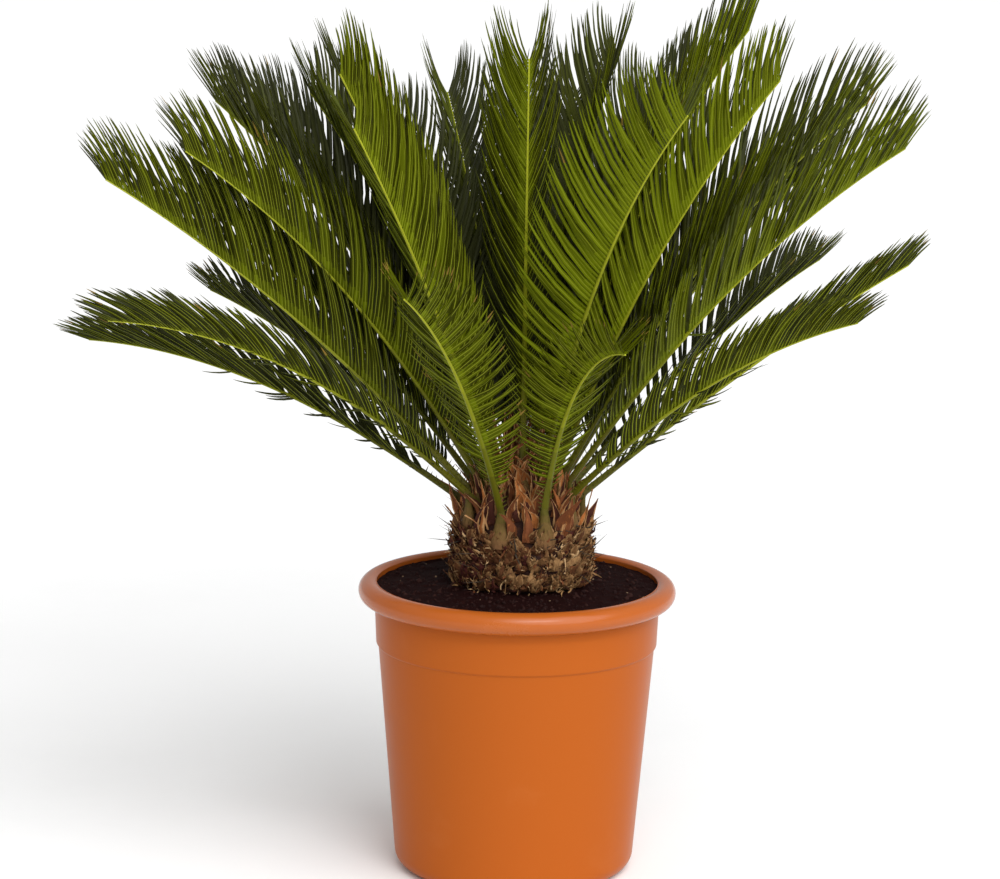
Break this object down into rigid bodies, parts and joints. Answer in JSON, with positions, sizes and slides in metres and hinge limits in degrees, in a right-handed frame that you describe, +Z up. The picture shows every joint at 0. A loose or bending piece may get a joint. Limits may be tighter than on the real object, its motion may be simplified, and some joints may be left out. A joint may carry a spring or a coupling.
{
  "type": "potted sago palm",
  "caption": "A sago palm with a short rough trunk and a full crown of arching feather fronds, standing in a round terracotta-coloured plastic nursery pot filled with dark soil.",
  "frame": {"origin": "centre of the flat underside of the pot, on the surface it stands on", "axes": "+Z up along the pot and the trunk; -Y towards the side seen in the picture, +X to the right as seen from there; the crown spreads furthest towards -X"},
  "size_m": [0.9521, 0.8093, 0.9702],
  "materials": {
    "pot_plastic": "satin",
    "potting_soil": "matte",
    "trunk_bark": "matte",
    "low_fronds": "satin",
    "middle_fronds": "satin",
    "upright_fronds": "satin",
    "short_fronds": "satin"
  },
  "bodies": {
    "root": {"pot": "pot_plastic", "soil": "potting_soil", "trunk": "trunk_bark", "frond_low_01": "low_fronds", "frond_low_02": "low_fronds", "frond_low_03": "low_fronds", "frond_low_04": "low_fronds", "frond_low_05": "low_fronds", "frond_low_06": "low_fronds", "frond_low_07": "low_fronds", "frond_low_08": "low_fronds", "frond_low_09": "low_fronds", "frond_middle_01": "middle_fronds", "frond_middle_02": "middle_fronds", "frond_middle_03": "middle_fronds", "frond_middle_04": "middle_fronds", "frond_middle_05": "middle_fronds", "frond_middle_06": "middle_fronds", "frond_middle_07": "middle_fronds", "frond_middle_08": "middle_fronds", "frond_middle_09": "middle_fronds", "frond_middle_10": "middle_fronds", "frond_middle_11": "middle_fronds", "frond_middle_12": "middle_fronds", "frond_middle_13": "middle_fronds", "frond_middle_14": "middle_fronds", "frond_middle_15": "middle_fronds", "frond_middle_16": "middle_fronds", "frond_upright_01": "upright_fronds", "frond_upright_02": "upright_fronds", "frond_upright_03": "upright_fronds", "frond_upright_04": "upright_fronds", "frond_upright_05": "upright_fronds", "frond_upright_06": "upright_fronds", "frond_upright_07": "upright_fronds", "frond_upright_08": "upright_fronds", "frond_upright_09": "upright_fronds", "frond_upright_10": "upright_fronds", "frond_short_01": "short_fronds", "frond_short_02": "short_fronds"}
  },
  "joints": []
}
